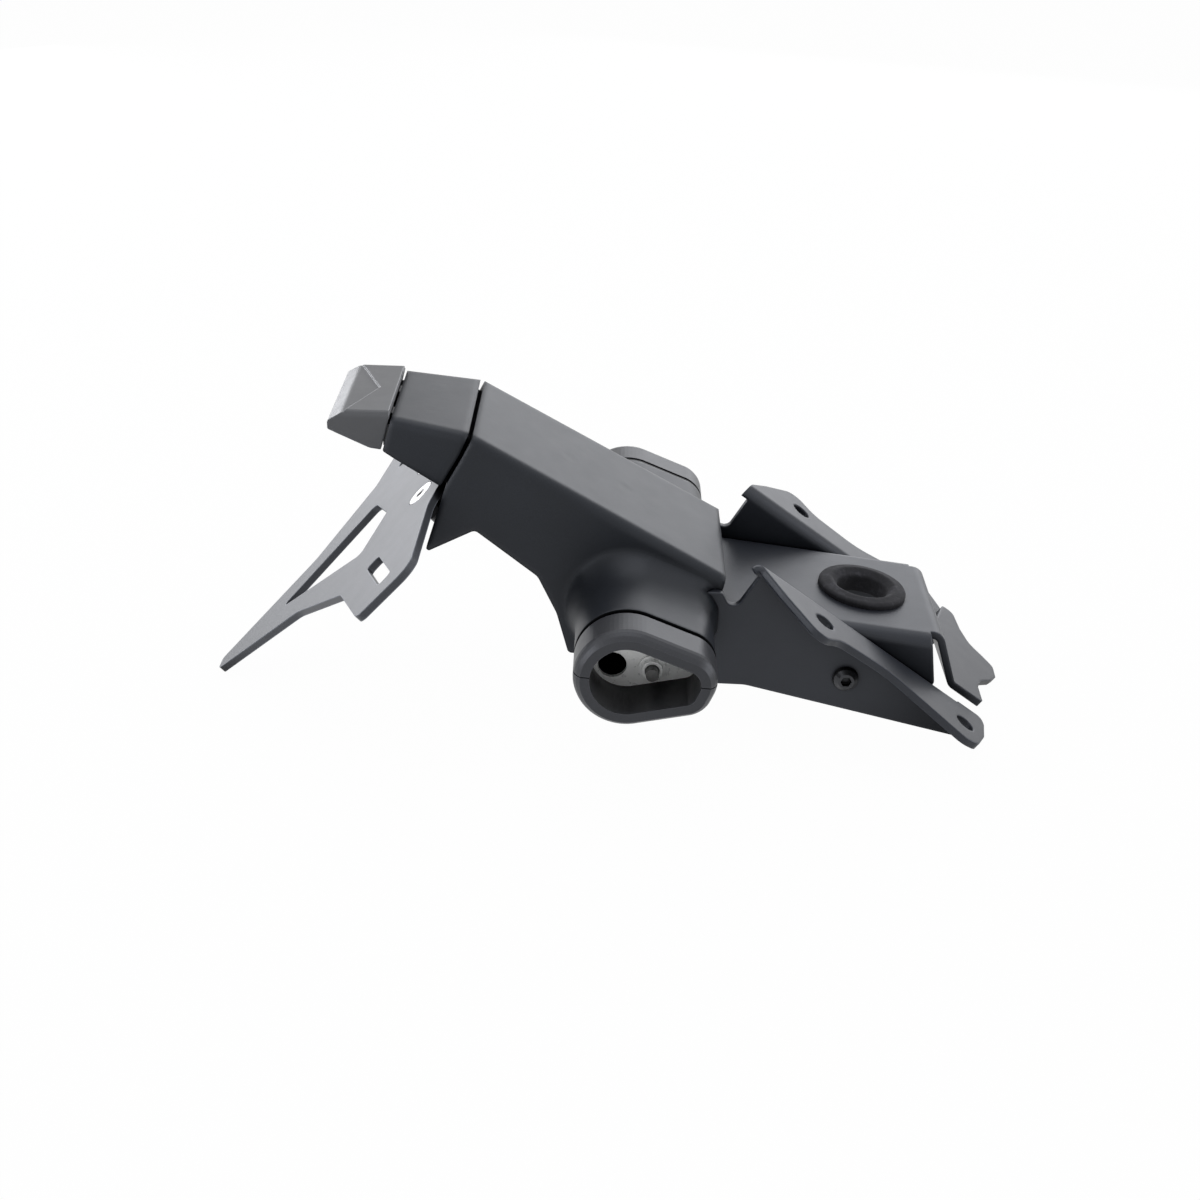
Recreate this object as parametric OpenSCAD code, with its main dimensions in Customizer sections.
// License plate holder for a motorbike: a folded bracket under the tail, a sloping arm with an indicator
// boss on each side, a number plate light and a flat plate bracket. +X is the bike's front, +Y its left
// side, +Z up, and the origin is the middle of the footprint that it rests on.

/* [Sheet metal] */
// Thickness of every folded or flat sheet
sheet_t = 3; // [2:0.5:4]
// Inside radius of the folds
fold_r = 2; // [1:0.5:3]

/* [Front bracket] */
// Width over the outside of the two side walls
bracket_w = 77; // [74:1:84]
// Slope of the mounting flanges and tongues, in degrees
flange_slope = 35.2; // [34:0.2:37]
// Place of the upper mounting holes along the bike
hole_x = 81.5; // [80:0.5:83]
// Height of the upper mounting holes
hole_z = 58.2; // [57:0.2:60]
// Distance between the left and right upper mounting holes
hole_spacing = 104; // [102:1:108]
// Distance between the left and right front mounting holes
front_spacing = 110.6; // [106:0.2:112]
// Distance from the upper to the front mounting hole
hole_pitch = 71.5; // [68:0.5:73]
// Diameter of the mounting holes
hole_d = 8.5; // [6.5:0.5:10]
// Reach of the mounting flanges past the side walls, at their widest
flange_reach = 31; // [28:0.5:34]

/* [Platform] */
// Slope of the platform, in degrees
floor_slope = 7; // [6:0.5:8]
// Height of the platform's top where it leaves the arm
floor_z = 54; // [53:0.2:55]
// Width of the step at the platform's front
step_w = 60; // [50:1:62]
// Outside diameter of the grommet
grommet_d = 36.5; // [34:0.5:40]
// Diameter of the grommet's hole
grommet_hole_d = 21; // [16:0.5:24]
// Height of the grommet's lip over the platform
grommet_h = 3.5; // [3:0.5:6]

/* [Arm] */
// Slope of the arm, in degrees
arm_slope = 29; // [28.5:0.25:29.5]
// Half width of the arm at its front end
arm_front_hw = 34.6; // [33:0.2:35]
// Half width of the arm at its rear end
arm_rear_hw = 33; // [31:0.2:34]
// Wall of the moulded arm cover
cover_t = 3; // [2:0.5:3.5]
// Radius of the cover's long edges
edge_r = 3.5; // [2:0.5:5]

/* [Indicators] */
// Width over the outer faces of the indicator collars
collar_span = 184.6; // [180:0.2:196]
// Length of each collar, from its groove to its outer face
collar_len = 17.2; // [14:0.5:19]
// Depth of the chamfer round the collar's outer edge
collar_chamfer = 2.6; // [1.5:0.1:3.5]
// Wall of the collar, seen from outside
collar_wall = 6.2; // [5:0.1:7]
// Width of the groove between the boss and its collar
groove_w = 1.8; // [1:0.1:2.5]
// Diameter of the cable hole in the indicator plate
cable_hole_d = 10.8; // [8:0.2:12]

/* [Plate bracket] */
// Slope of the plate bracket, in degrees
plate_slope = 45.1; // [44:0.1:46]
// Half the distance between the two plate bolts
plate_bolt_y = 15.2; // [14:0.2:17]
// Reach of each wing of the plate bracket from the middle
wing_reach = 93.5; // [88:0.5:98]
// Length of the plate bracket from its bolts to its tip
leg_len = 125.5; // [120:0.5:126]
// Length of the plate slots
slot_len = 33; // [28:1:36]
// Width of the plate slots
slot_w = 6.6; // [5.5:0.1:8]

/* [Light and hood] */
// Slope of the hood's top, rising to the rear, in degrees
hood_slope = 8.2; // [6:0.2:10]
// Half width of the light and of the hood's rear end
light_hw = 27.2; // [26:0.1:28]
// Wall of the hood and of the light housing
shell_t = 2.5; // [2:0.1:3]
// Height of the raised panel on the light
panel_h = 0.8; // [0.4:0.1:1.2]

/* [Fasteners] */
// Thread diameter of the large bolts
bolt_d = 6; // [5:0.5:6]
// Thread diameter of the small bolts and screws
small_d = 5; // [4:0.5:5]

/* [Hidden] */
$fn = 48;
arc_steps = 8;
clear = 0.3;
over = 1;

satin = "#3a3c40";
satin_light = "#77787c";
rubber = "#2f2f34";
gloss = "#55585c";
steel = "#c4c6c8";
black_steel = "#26272a";

wall_y = bracket_w / 2;
inner_y = wall_y - sheet_t;
floor_x = 44;
arm_x = 43.7;
arm_z = 66.9;
floor_fold_r = fold_r + 1;
frame_drop = 9;
light_x = -87.4;
collar_y = collar_span / 2;
groove_y = collar_y - collar_len;
boss_y = groove_y - groove_w;
ledge_y = boss_y - 4;
ind_plate_t = 2;
split_gap = 0.5;

// Unit vector from a to b
function unit(a, b) = (b - a) / norm(b - a);
// The rounded corner at q, between p and s
function corner(p, q, s, r) =
    r == 0 ? [q] :
    let (u = unit(q, p), v = unit(q, s), half = acos(max(-1, min(1, u * v))) / 2,
         c = q + (u + v) / norm(u + v) * r / sin(half), d = r / tan(half), e0 = q + u * d - c, e1 = q + v * d - c)
    [for (i = [0:arc_steps]) let (w = e0 * (1 - i / arc_steps) + e1 * i / arc_steps) c + w / norm(w) * r];
// An outline whose points are [x, y, corner radius]
function rounded(pts) = let (n = len(pts))
    [for (i = [0:n - 1]) let (p = pts[(i + n - 1) % n], q = pts[i], s = pts[(i + 1) % n])
        each corner([p[0], p[1]], [q[0], q[1]], [s[0], s[1]], q[2])];
// The right-hand normal of the line from a to b
function below(a, b) = let (u = unit(a, b)) [u[1], -u[0]];
// The other face of a folded sheet at point i of its outline
function back_point(pts, i, t) = let (n = len(pts),
    m0 = below(pts[max(i, 1) - 1], pts[max(i, 1)]), m1 = below(pts[min(i, n - 2)], pts[min(i, n - 2) + 1]))
    pts[i] + t * (m0 + m1) / (1 + m0 * m1);
// The turn of a folded sheet's outline at point i: positive where it turns left
function turn(pts, i) = let (n = len(pts)) i == 0 || i == n - 1 ? 0 :
    let (a = pts[i] - pts[i - 1], b = pts[i + 1] - pts[i]) a[0] * b[1] - a[1] * b[0];
// The section of a sheet folded along the line of pts, with its thickness t on the right-hand side
function folded(pts, t, r) = let (n = len(pts))
    rounded(concat(
        [for (i = [0:n - 1]) [pts[i][0], pts[i][1], turn(pts, i) == 0 ? 0 : turn(pts, i) < 0 ? r + t : r]],
        [for (k = [0:n - 1]) let (i = n - 1 - k, b = back_point(pts, i, t))
            [b[0], b[1], turn(pts, i) == 0 ? 0 : turn(pts, i) < 0 ? r : r + t]]));
// A point of a sloped frame in the XZ plane
function tilt_point(origin, slope, p) =
    [origin[0] + p[0] * cos(slope) + p[1] * sin(slope), origin[1] - p[0] * sin(slope) + p[1] * cos(slope)];

plate_origin = [-82.1, 86.5];
arm_origin = [arm_x, arm_z];
floor_origin = [floor_x, floor_z];
function arm_point(x, z) = tilt_point(arm_origin, arm_slope, [x, z]);
function floor_point(x, z) = tilt_point(floor_origin, floor_slope, [x, z]);
function plate_point(s, z) = tilt_point(plate_origin, 180 - plate_slope, [s, z]);
function flange_point(s, z) = tilt_point([hole_x, hole_z], flange_slope, [s, z]);

module at_flange() translate([hole_x, 0, hole_z]) rotate([0, flange_slope, 0]) children();
module at_floor() translate([floor_x, 0, floor_z]) rotate([0, floor_slope, 0]) children();
module at_arm() translate([arm_x, 0, arm_z]) rotate([0, arm_slope, 0]) children();
module at_plate() translate([plate_origin[0], 0, plate_origin[1]]) rotate([0, 180 - plate_slope, 0]) children();
module both_sides() {
    children();
    mirror([0, 1, 0]) children();
}
// A prism across the bike: an outline in X and Z from y0 to y1
module across(y0, y1) translate([0, y1, 0]) rotate([90, 0, 0]) linear_extrude(y1 - y0) children();
// A prism along X: an outline in Y and Z from x0 to x1
module along(x0, x1) translate([x0, 0, 0]) rotate([90, 0, 90]) linear_extrude(x1 - x0) children();

// Fasteners, each standing on z = 0 with its thread down the -Z side
module button_bolt(d, len) {
    head_h = 0.55 * d;
    difference() {
        union() {
            cylinder(d1 = 1.75 * d, d2 = 1.6 * d, h = 0.55 * head_h);
            translate([0, 0, 0.55 * head_h]) cylinder(d1 = 1.6 * d, d2 = 1.05 * d, h = 0.45 * head_h);
            translate([0, 0, -len]) cylinder(d = d, h = len + 0.1);
        }
        translate([0, 0, 0.35 * head_h]) cylinder(d = 0.77 * d, h = head_h, $fn = 6);
    }
}
module countersunk_bolt(d, len) {
    head_h = 0.55 * d;
    difference() {
        union() {
            translate([0, 0, -head_h]) cylinder(d1 = d, d2 = 2 * d, h = head_h - 0.3);
            translate([0, 0, -0.3]) cylinder(d = 2 * d, h = 0.3);
            translate([0, 0, -len]) cylinder(d = d, h = len - head_h);
        }
        translate([0, 0, -0.4 * head_h]) cylinder(d = 0.75 * d, h = head_h, $fn = 6);
    }
}
module lock_nut(d) {
    difference() {
        union() {
            cylinder(d = 1.92 * d, h = 0.65 * d, $fn = 6);
            cylinder(d = 1.6 * d, h = d);
        }
        translate([0, 0, -over]) cylinder(d = d + 2 * clear, h = d + 2 * over);
    }
}

// Side plates of the front bracket
side_bolt_at = [93.7, 26.1];
rear_bolt_at = [10, 46.5];
side_wall_outline = [
    [-4, 38, 6], [18, 22.2, 10], [53.6, 21.6, 15], [141.2, 0.6, 3], [147.2, 7.6, 1.5], [149, 14, 0],
    [60.2, 76.5, 0], [46.9, 53.8, 3.2], [42.2, 62.4, 2], [-4, 62.4, 6]
];
flange_w = wall_y + flange_reach;
waist_y = flange_w - 13;
tongue_y = flange_w - 0.5;
flange_outline = [
    [-31, inner_y, 0], [-28.5, flange_w - 28, 6], [-20, flange_w - 18, 10], [-2.5, flange_w - 1, 7], [8, waist_y + 2, 12],
    [32, waist_y - 0.5, 30], [hole_pitch - 2.5, tongue_y + 0.3, 9], [hole_pitch + 4.5, tongue_y - 2, 5],
    [hole_pitch + 10, tongue_y - 13, 10], [hole_pitch + 12.8, wall_y + 5.5, 6], [hole_pitch + 12.5, wall_y, 3],
    [hole_pitch + 4, wall_y, 0], [hole_pitch + 4, inner_y, 0]
];
module flange_section() {
    polygon(folded([[inner_y, -90], [inner_y, 0], [flange_w + 10, 0]], sheet_t, fold_r));
}
module side_plate() {
    color(satin) difference() {
        union() {
            intersection() {
                at_flange() along(-60, 110) flange_section();
                union() {
                    across(inner_y - over, wall_y + sheet_t) polygon(rounded(side_wall_outline));
                    at_flange() translate([0, 0, -sheet_t - fold_r]) intersection() {
                        linear_extrude(sheet_t + fold_r + over) polygon(rounded(flange_outline));
                        translate([-60, 0, 0]) cube([60 + hole_pitch + 3, 120, 20]);
                    }
                }
            }
            at_flange() translate([0, 0, -sheet_t]) linear_extrude(sheet_t) intersection() {
                polygon(rounded(flange_outline));
                translate([hole_pitch, wall_y]) square([60, 120]);
            }
        }
        at_flange() for (p = [[0, hole_spacing / 2], [hole_pitch, front_spacing / 2]])
            translate([p[0], p[1], -sheet_t - 2 * over])
            cylinder(d = hole_d, h = sheet_t + 4 * over);
        for (p = [side_bolt_at, rear_bolt_at]) translate([p[0], inner_y - over, p[1]])
            rotate([-90, 0, 0]) cylinder(d = bolt_d + 2 * clear, h = sheet_t + 2 * over);
    }
}
module side_plate_left() side_plate();
module side_plate_right() mirror([0, 1, 0]) side_plate();

// Platform between the side plates, with its stepped foot
step_x = 132.4;
step_top = [step_x, floor_z - (step_x - floor_x) * tan(floor_slope)];
step_foot = flange_point(68.9, sheet_t);
foot_outline = [
    [-90, -step_w / 2, 0], [84.4, -step_w / 2, 1.5], [84.9, -17, 2], [88.5, -8, 8], [97, 1.5, 6], [101, 8, 1],
    [102, 18.5, 4], [96.5, 22.5, 4], [90, 26, 8], [86.8, 36, 8], [85.6, 50.3, 3], [79.5, 50.3, 3], [72, step_w / 2, 2],
    [-90, step_w / 2, 0]
];
// A point of the XZ plane in the platform's own frame, x along its top and z up from it
function on_floor(p) = let (d = p - floor_origin)
    [d[0] * cos(floor_slope) - d[1] * sin(floor_slope), d[0] * sin(floor_slope) + d[1] * cos(floor_slope)];
floor_rear = -46.5;
flap_outline = [
    [floor_rear, -16.6, 3], [-27.7, -19.5, 6], [56.3, -30.4, 8], [89.7, -21.7, 3], [81.6, 8, 0], [floor_rear, 8, 0]
];
grommet_x = 59.2;
foot_bolt_x = 24;
foot_bolt_y = 14;
module at_foot_bolt(z) for (y = [-foot_bolt_y, foot_bolt_y])
    translate([foot_bolt_x, y, floor_z + (floor_x - foot_bolt_x) * tan(floor_slope)])
        rotate([0, floor_slope, 0]) translate([0, 0, z]) children();
module platform() {
    color(satin_light) difference() {
        at_floor() union() {
            both_sides() intersection() {
                along(-60, 100) polygon(folded([[step_w / 2 - over, 0], [inner_y, 0], [inner_y, -60]], sheet_t, fold_r));
                across(0, 60) polygon(rounded(flap_outline));
            }
            intersection() {
                across(-60, 60) polygon(folded([[floor_rear, 0], on_floor(step_top), on_floor(step_foot),
                    on_floor(flange_point(110, sheet_t))], sheet_t, floor_fold_r));
                translate([on_floor([hole_x, hole_z])[0], 0, on_floor([hole_x, hole_z])[1]])
                    rotate([0, flange_slope - floor_slope, 0]) translate([0, 0, -90])
                        linear_extrude(180) polygon(rounded(foot_outline));
            }
        }
        at_floor() translate([grommet_x, 0, -sheet_t - over])
            cylinder(d = grommet_d - 7, h = sheet_t + 2 * over);
        at_foot_bolt(-sheet_t - over) cylinder(d = bolt_d + 2 * clear, h = sheet_t + 2 * over);
        for (p = [side_bolt_at, rear_bolt_at]) translate([p[0], -60, p[1]]) rotate([-90, 0, 0])
            cylinder(d = bolt_d + 2 * clear, h = 120);
    }
}
module grommet() {
    neck = grommet_d / 2 - 3.5 - clear;
    rim = grommet_d / 2;
    hole = grommet_hole_d / 2;
    lip = 1.6;
    color(rubber) at_floor() translate([grommet_x, 0, 0]) rotate_extrude($fn = 72) polygon(rounded([
        [hole, -sheet_t - 3.5, lip / 2], [rim - 1, -sheet_t - 3.5, lip], [rim - 0.5, -sheet_t, 0], [neck, -sheet_t, 0],
        [neck, 0, 0], [rim, 0, 0], [rim, grommet_h - 1, lip], [hole + 3, grommet_h, lip], [hole, grommet_h - 2.5, lip]
    ]));
}

// Folded frame inside the arm, from the platform to the light
frame_hw = 26;
shelf_hw = 20;
frame_knee = arm_point(-119.8, -frame_drop);
shelf_len = 30.5;
shelf_end = frame_knee + shelf_len * [-cos(hood_slope), sin(hood_slope)];
frame_drop_x = 10;
frame_top = arm_point(-33.4, -frame_drop);
foot_top = [frame_drop_x, floor_z + (floor_x - frame_drop_x) * tan(floor_slope) + sheet_t / cos(floor_slope)];
foot_end = floor_point(-8, sheet_t);
mount_at = -93;
cover_screw_at = [-72, -46];
hood_screw_at = 8.8;
light_screw_at = 26;
shelf_screw_y = 12;
// Two places across the frame's rear shelf, at a distance from its knee, with z = 0 on its top
module at_shelf(x) for (y = [-shelf_screw_y, shelf_screw_y])
    translate([frame_knee[0], y, frame_knee[1]]) rotate([0, hood_slope, 0]) translate([-x, 0, 0]) children();
module arm_frame() {
    color(satin) difference() {
        union() {
            across(-shelf_hw, shelf_hw) polygon(folded([shelf_end, frame_knee, frame_top], sheet_t, fold_r));
            across(-frame_hw + 4, frame_hw - 4)
                polygon(folded([arm_point(-60, -frame_drop), frame_top, foot_top, foot_end], sheet_t, fold_r));
            at_arm() translate([0, 0, -frame_drop]) along(-112, -42)
                polygon(folded([[-frame_hw, -15], [-frame_hw, 0], [frame_hw, 0], [frame_hw, -15]], sheet_t, fold_r));
        }
        at_foot_bolt(-over) cylinder(d = bolt_d + 2 * clear, h = sheet_t + 2 * over);
        at_arm() for (x = cover_screw_at) translate([x, 0, -30]) cylinder(d = small_d + 2 * clear, h = 25);
        at_arm() for (y = [-11, 11]) translate([mount_at, y, -30]) cylinder(d = small_d + 2 * clear, h = 25);
        for (x = [hood_screw_at, light_screw_at]) at_shelf(x) translate([0, 0, -sheet_t - over])
            cylinder(d = small_d - 1 + 2 * clear, h = sheet_t + 2 * over);
    }
}

// Folded bracket between the arm frame and the plate bracket
mount_hw = 20.5;
module plate_mount() {
    top = -frame_drop - sheet_t;
    face_top = plate_point(0, sheet_t);
    rise = [cos(plate_slope), sin(plate_slope)];
    under = arm_point(0, top);
    slope_dir = [cos(arm_slope), -sin(arm_slope)];
    gap = under - face_top;
    reach = (gap[0] * slope_dir[1] - gap[1] * slope_dir[0]) / (rise[0] * slope_dir[1] - rise[1] * slope_dir[0]);
    color(satin) difference() {
        across(-mount_hw, mount_hw) polygon(folded(
            [plate_point(12, sheet_t), face_top + rise * reach, arm_point(-80, top)], sheet_t, fold_r));
        at_plate() for (y = [-plate_bolt_y, plate_bolt_y]) translate([-6, y, 0])
            cylinder(d = bolt_d + 2 * clear, h = 12);
        at_arm() for (y = [-11, 11]) translate([mount_at, y, -30]) cylinder(d = small_d + 2 * clear, h = 25);
    }
}

// Flat plate bracket with its wings, slots and kite-shaped window
module plate_bracket() {
    leg = leg_len - 6;
    half = [
        [-19.5, 22, 5], [-13.9, 38, 20], [-11.8, wing_reach - 5.5, 9], [15.3, wing_reach, 4], [32.5, 52.5, 4],
        [64.5, 24.5, 15], [leg, 4.5, 3]
    ];
    outline = concat(half, [for (k = [len(half) - 1:-1:0]) [half[k][0], -half[k][1], half[k][2]]]);
    color(satin_light) at_plate() difference() {
        linear_extrude(sheet_t) difference() {
            polygon(rounded(outline));
            polygon(rounded([[16, 0, 3], [27, 24.5, 3], [80.5, 0, 2], [27, -24.5, 3]]));
            for (side = [-1, 1]) translate([9, side * 63.7]) rotate(side * 111.5)
                polygon(rounded([
                    [-slot_len / 2, -slot_w / 2, 2], [slot_len / 2, -slot_w / 2, 2],
                    [slot_len / 2, slot_w / 2, 2], [-slot_len / 2, slot_w / 2, 2]
                ]));
        }
        for (y = [-plate_bolt_y, plate_bolt_y]) translate([-6, y, 0]) {
            translate([0, 0, -over]) cylinder(d = bolt_d + 2 * clear, h = sheet_t + 2 * over);
            translate([0, 0, -0.01]) cylinder(d = 2 * bolt_d + 2 * clear, h = 0.4);
            translate([0, 0, 0.3]) cylinder(d1 = 2 * bolt_d + 2 * clear, d2 = bolt_d + 2 * clear, h = 0.5 * bolt_d);
        }
    }
}

// The indicators' outline in X and Z, round three circles: a large rear and a smaller blunt front
boss_circles = [[5.2, 51.7, 19.8], [26.2, 50.7, 12.8], [27, 46.9, 10.6]];
boss_steps = 72;
function boss_reach(k, u) = boss_circles[k][0] * u[0] + boss_circles[k][1] * u[1] + boss_circles[k][2];
function boss_ring(inset) = [for (i = [0:boss_steps - 1])
    let (u = [cos(i * 360 / boss_steps), sin(i * 360 / boss_steps)],
         best = max([for (k = [0:2]) boss_reach(k, u)]),
         c = [for (q = boss_circles) if (q[0] * u[0] + q[1] * u[1] + q[2] == best) q][0])
    [c[0], c[1]] + (c[2] - inset) * u];
// A solid through that outline at stations of [y, inset]
module boss_loft(stations) {
    n = len(stations);
    polyhedron(
        [for (st = stations) for (q = boss_ring(st[1])) [q[0], st[0], q[1]]],
        concat(
            [[for (i = [boss_steps - 1:-1:0]) i]],
            [[for (i = [0:boss_steps - 1]) (n - 1) * boss_steps + i]],
            [for (j = [0:n - 2]) for (i = [0:boss_steps - 1]) let (k = (i + 1) % boss_steps)
                each [[j * boss_steps + i, j * boss_steps + k, (j + 1) * boss_steps + k],
                    [j * boss_steps + i, (j + 1) * boss_steps + k, (j + 1) * boss_steps + i]]]),
        convexity = 4);
}
module boss_prism(y0, y1, inset) boss_loft([[y0, inset], [y1, inset]]);

// Moulded cover of the arm, one piece with both indicator bosses
// Places along the arm, behind and ahead of the cover, between which its width tapers
arm_ends = [-133.2, 40];
cover_side = [
    [-54, 140, 0], [-55.6, 121.5, 0], [-59.6, 113.4, 3], [-65.9, 101.8, 4], [-74.4, 73.8, 1], [-54.8, 83.9, 2.5],
    [-30.2, 65.1, 6], [-22.5, 49.5, 15], [-17.5, 32, 2], [41, 32, 0], [41.2, 55.9, 2], [43.9, 67.3, 0],
    [43.9, 80, 0]
];
bay_y = wall_y + clear;
bay = [[-8, 0], [-8, 61.8], [41.1, 55.8], [70, 55.8], [70, 0]];
slot_bay = [[-8, 40], [-8, 63], [70, 63], [70, 40]];
front_cut = [[41, 0], [41.2, 55.9], [43.9, 67.3], [43.9, 80], [70, 80], [70, 0]];
flare_y = [33, 54];
flare_rise = 6.6;
module arm_slab(x, hw, drop) translate([x, 0, 0]) rotate([90, 0, 90]) linear_extrude(0.02) hull() {
    for (side = [-1, 1]) translate([side * (hw - edge_r), -edge_r]) circle(r = edge_r, $fn = 32);
    for (side = [-1, 1]) translate([side * (hw + 1.5), -drop]) circle(r = 0.5, $fn = 16);
}
module arm_body(inset, x0, x1) at_arm() translate([0, 0, -inset]) hull() {
    arm_slab(x0, arm_rear_hw - 0.6 - inset, 90);
    arm_slab(x1, arm_front_hw + 1 - inset, 90);
}
module arm_cover() {
    wall = cover_t;
    hollow = wall + 0.5;
    color(satin) difference() {
        union() {
            intersection() {
                across(-60, 60) polygon(rounded(cover_side));
                arm_body(0, arm_ends[0], arm_ends[1]);
            }
            both_sides() boss_loft(concat(
                [[28, -flare_rise - 0.6]],
                [for (i = [0:11]) let (t = i / 11)
                    [flare_y[0] * (1 - t) + flare_y[1] * t, -flare_rise * pow(1 - t, 2.5)]],
                [[boss_y, 0]]));
        }
        difference() {
            arm_body(wall, arm_ends[0] - 4, arm_ends[1] + 6);
            at_arm() for (x = cover_screw_at) translate([x, 0, -frame_drop])
                cylinder(d = small_d + 6, h = frame_drop);
        }
        both_sides() {
            boss_prism(20, ledge_y - 2.5, hollow);
            boss_prism(ledge_y - 3, ledge_y + 0.5, hollow + 3);
            boss_prism(ledge_y, boss_y + over, hollow);
        }
        across(-bay_y, bay_y) polygon(bay);
        across(-60, 60) polygon(front_cut);
        both_sides() across(inner_y - clear, bay_y) polygon(slot_bay);
        at_arm() for (x = cover_screw_at) translate([x, 0, -frame_drop - over])
            cylinder(d = small_d + 2 * clear, h = frame_drop - 1);
    }
}

// Hood between the arm and the light
hood_origin = [-56.9, 122.5];
hood_side = [
    [-56.9, 140, 0], [-57.2, 122.6, 0], [-61.1, 113.8, 3], [-68.2, 101.2, 1], [-86.3, 111.2, 6],
    [-90.4, 113.7, 1], [-86.7, 127.2, 0], [-86.5, 140, 0]
];
module hood_slab(x, hw, drop) translate([x, 0, 0]) rotate([90, 0, 90]) linear_extrude(0.02) hull() {
    for (side = [-1, 1]) translate([side * (hw - edge_r), -edge_r]) circle(r = edge_r, $fn = 32);
    for (side = [-1, 1]) translate([side * (hw + 0.5), -drop]) circle(r = 0.5, $fn = 16);
}
module hood_body(inset) translate([hood_origin[0], 0, hood_origin[1]]) rotate([0, hood_slope, 0])
    translate([0, 0, -inset]) hull() {
        hood_slab(-40, light_hw + 0.2 - inset, 45);
        hood_slab(10, arm_rear_hw + 0.6 - inset, 45);
    }
// A thin skirt inside the mouth of both shapes, so that the gap between two covers isn't open
lip_t = 1.3;
module front_lip(inset) intersection() {
    arm_body(cover_t + inset, arm_ends[0], arm_ends[1]);
    hood_body(shell_t - 0.2 + inset - clear);
}
module hood() {
    color(satin) difference() {
        union() {
            intersection() {
                across(-60, 60) polygon([
                    [-54.2, 140], [-54.2, 122], [-65.2, 101.5], [-73.5, 104.5], [-63.2, 124], [-63, 140]
                ]);
                difference() {
                    front_lip(clear);
                    front_lip(clear + lip_t);
                }
            }
            intersection() {
                across(-60, 60) polygon(rounded(hood_side));
                difference() {
                    hood_body(0);
                    hood_body(shell_t);
                }
            }
            intersection() {
                at_shelf(hood_screw_at) cylinder(d = 9, h = 20);
                hood_body(0.5);
            }
        }
        at_shelf(hood_screw_at) translate([0, 0, -over]) cylinder(d = small_d - 1 + 2 * clear, h = 5);
    }
}

// Number plate light
light_side = [
    [light_x, 128.2, 1], [-106, 128.2, 4], [-111.4, 125, 1.5], [-111.4, 121.6, 0.8], [-95.6, 114.3, 6],
    [-91.2, 113.7, 0.5]
];
module light_section(inset) {
    hull() {
        for (side = [-1, 1]) translate([side * (light_hw - 3 - inset), 129.2 - 3 - inset]) circle(r = 3, $fn = 32);
        for (side = [-1, 1]) translate([side * (light_hw - 1 - inset), 100]) circle(r = 1, $fn = 16);
    }
}
module light_lip(inset) intersection() {
    along(light_x - 3, light_x + 3) light_section(inset + 1.6);
    hood_body(inset + shell_t + clear);
}
module light_housing() {
    color(gloss) difference() {
        union() {
            intersection() {
                across(-40, 40) polygon([
                    [light_x - 3, 140], [light_x + 3, 140], [light_x + 2, 113.9], [light_x - 3, 115]
                ]);
                difference() {
                    light_lip(0);
                    light_lip(lip_t);
                }
            }
            intersection() {
                across(-40, 40) polygon(rounded(light_side));
                along(-120, -80) light_section(0);
            }
            intersection() {
                translate([0, 0, 128]) linear_extrude(0.2 + panel_h) polygon([
                    [light_x - 0.5, -light_hw], [light_x - 0.5, light_hw], [-105.3, light_hw], [-94.5, 0], [-105.3, -light_hw]
                ]);
                along(-120, -80) light_section(0);
            }
        }
        difference() {
            intersection() {
                across(-40, 40) polygon([
                    [light_x + 3, 128.2 - shell_t], [-105, 128.2 - shell_t], [-111.4 + shell_t, 124.5],
                    [-111.4 + shell_t, 110], [light_x - 1, 105], [light_x + 3, 105]
                ]);
                along(-120, -80) light_section(shell_t);
            }
            at_shelf(light_screw_at) cylinder(d = 8.6, h = 20);
        }
        at_shelf(light_screw_at) translate([0, 0, -over]) cylinder(d = small_d - 1 + 2 * clear, h = 5);
        at_shelf(light_screw_at) translate([0, 0, -10]) cylinder(d = 9, h = 10);
    }
}
light_slope = 24.6;
module at_lens() translate([-103.5, 0, 117.4]) rotate([0, light_slope, 0]) children();
module light_lens() {
    color("#dfe6ea") at_lens() translate([-6.1, -22, -1.8]) cube([12.9, 44, 2]);
}
module light_board() {
    color("#2f6b45") at_lens() difference() {
        union() {
            translate([-4.5, -20, 2.4]) cube([9, 40, 1.4]);
            for (y = [-14, 0, 14]) translate([-1.6, y - 1.6, 1.4]) cube([3.2, 3.2, 1.2]);
            for (y = [-19, 19]) translate([-3, y - 0.8, 1]) cube([6, 1.6, 1.6]);
        }
    }
}

// Indicator collars, each split into an upper and a lower half
split_line = [[-30, 54.4], [60, 48.5]];
module collar() {
    color("#45464a") difference() {
        union() {
            boss_prism(ledge_y + ind_plate_t, groove_y + 0.5, cover_t + 0.5 + clear);
            boss_loft([[groove_y, 0], [collar_y - 4.5, 0], [collar_y - 3, 0.35], [collar_y - 1.5, 1.2], [collar_y, collar_chamfer]]);
        }
        boss_prism(ledge_y, collar_y + over, collar_wall);
    }
}
// The half above the split for side 1, below it for side -1
module collar_half(side) {
    cut = [for (p = split_line) p + [0, side * split_gap / 2]];
    reach = [0, side * 2 * boss_circles[0][2]];
    intersection() {
        collar();
        across(ledge_y, collar_y + over) polygon([cut[0], cut[1], cut[1] + reach, cut[0] + reach]);
    }
}
module collar_upper_left() collar_half(1);
module collar_lower_left() collar_half(-1);
module collar_upper_right() mirror([0, 1, 0]) collar_half(1);
module collar_lower_right() mirror([0, 1, 0]) collar_half(-1);

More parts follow.
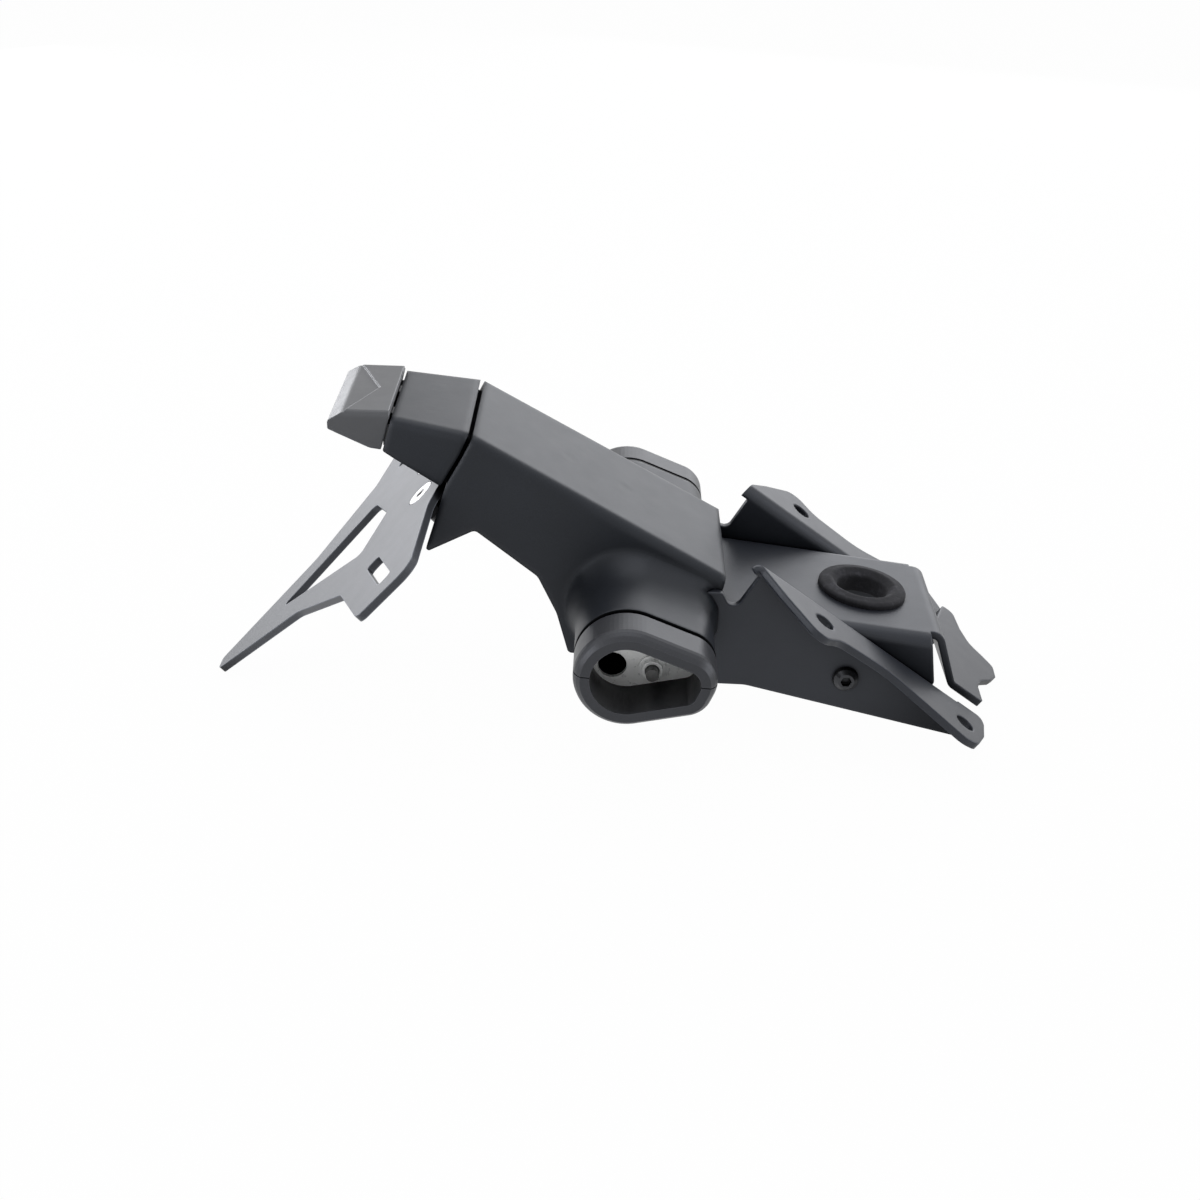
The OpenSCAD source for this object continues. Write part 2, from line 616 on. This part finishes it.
// Plates that the indicators bolt to, with a sleeve and a bolt in each
cable_at = [0, 47.2];
stud_at = [15.1, 46.9];
stud_d = 5;
module indicator_plate() {
    color(steel) difference() {
        across(ledge_y, ledge_y + ind_plate_t) polygon(boss_ring(cover_t + 0.5 + clear));
        translate([cable_at[0], ledge_y - over, cable_at[1]]) rotate([-90, 0, 0])
            cylinder(d = cable_hole_d, h = ind_plate_t + 2 * over);
        translate([stud_at[0], ledge_y - over, stud_at[1]]) rotate([-90, 0, 0])
            cylinder(d = stud_d + 2 * clear, h = ind_plate_t + 2 * over);
    }
}
module indicator_plate_left() indicator_plate();
module indicator_plate_right() mirror([0, 1, 0]) indicator_plate();
module indicator_sleeves() color(steel) both_sides()
    translate([stud_at[0], ledge_y + ind_plate_t, stud_at[1]]) rotate([-90, 0, 0]) difference() {
        union() {
            cylinder(d = 10.4, h = 1.2);
            cylinder(d = 8, h = 3.5);
        }
        translate([0, 0, -over]) cylinder(d = stud_d + 2 * clear, h = 8);
    }
module indicator_bolts() color(steel) both_sides()
    translate([stud_at[0], ledge_y, stud_at[1]]) rotate([90, 0, 0]) button_bolt(stud_d, 9);

// Bolts, nuts and screws, one node for each kind and place
module plate_bolts() color(steel) at_plate() for (y = [-plate_bolt_y, plate_bolt_y])
    translate([-6, y, 0]) rotate([180, 0, 0]) countersunk_bolt(bolt_d, 16);
module plate_nuts() color(steel) at_plate() for (y = [-plate_bolt_y, plate_bolt_y])
    translate([-6, y, 2 * sheet_t]) lock_nut(bolt_d);
module side_bolts() color(black_steel) both_sides() for (p = [side_bolt_at, rear_bolt_at])
    translate([p[0], wall_y, p[1]]) rotate([-90, 0, 0]) button_bolt(bolt_d, 14);
module side_nuts() color(steel) both_sides() for (p = [side_bolt_at, rear_bolt_at])
    translate([p[0], inner_y - sheet_t, p[1]]) rotate([90, 0, 0]) lock_nut(bolt_d);
module frame_bolts() color(steel) at_foot_bolt(sheet_t) button_bolt(bolt_d, 14);
module frame_nuts() color(steel) at_foot_bolt(-sheet_t) rotate([180, 0, 0]) lock_nut(bolt_d);
module mount_bolts() color(steel) at_arm() for (y = [-11, 11])
    translate([mount_at, y, -frame_drop - 2 * sheet_t]) rotate([180, 0, 0]) button_bolt(small_d, 11);
module mount_nuts() color(steel) at_arm() for (y = [-11, 11])
    translate([mount_at, y, -frame_drop]) lock_nut(small_d);
module cover_screws() color(steel) at_arm() for (x = cover_screw_at)
    translate([x, 0, -frame_drop - sheet_t]) rotate([180, 0, 0]) button_bolt(small_d, frame_drop - 2);
module shelf_screws(x) color(steel) at_shelf(x) translate([0, 0, -sheet_t]) rotate([180, 0, 0])
    button_bolt(small_d - 1, sheet_t + 3.5);
module hood_screws() shelf_screws(hood_screw_at);
module light_screws() shelf_screws(light_screw_at);

side_plate_left();
side_plate_right();
platform();
grommet();
arm_frame();
plate_mount();
arm_cover();
hood();
light_housing();
light_board();
light_lens();
plate_bracket();
collar_upper_left();
collar_lower_left();
collar_upper_right();
collar_lower_right();
indicator_plate_left();
indicator_plate_right();
indicator_sleeves();
indicator_bolts();
plate_bolts();
plate_nuts();
side_bolts();
side_nuts();
frame_bolts();
frame_nuts();
mount_bolts();
mount_nuts();
cover_screws();
hood_screws();
light_screws();
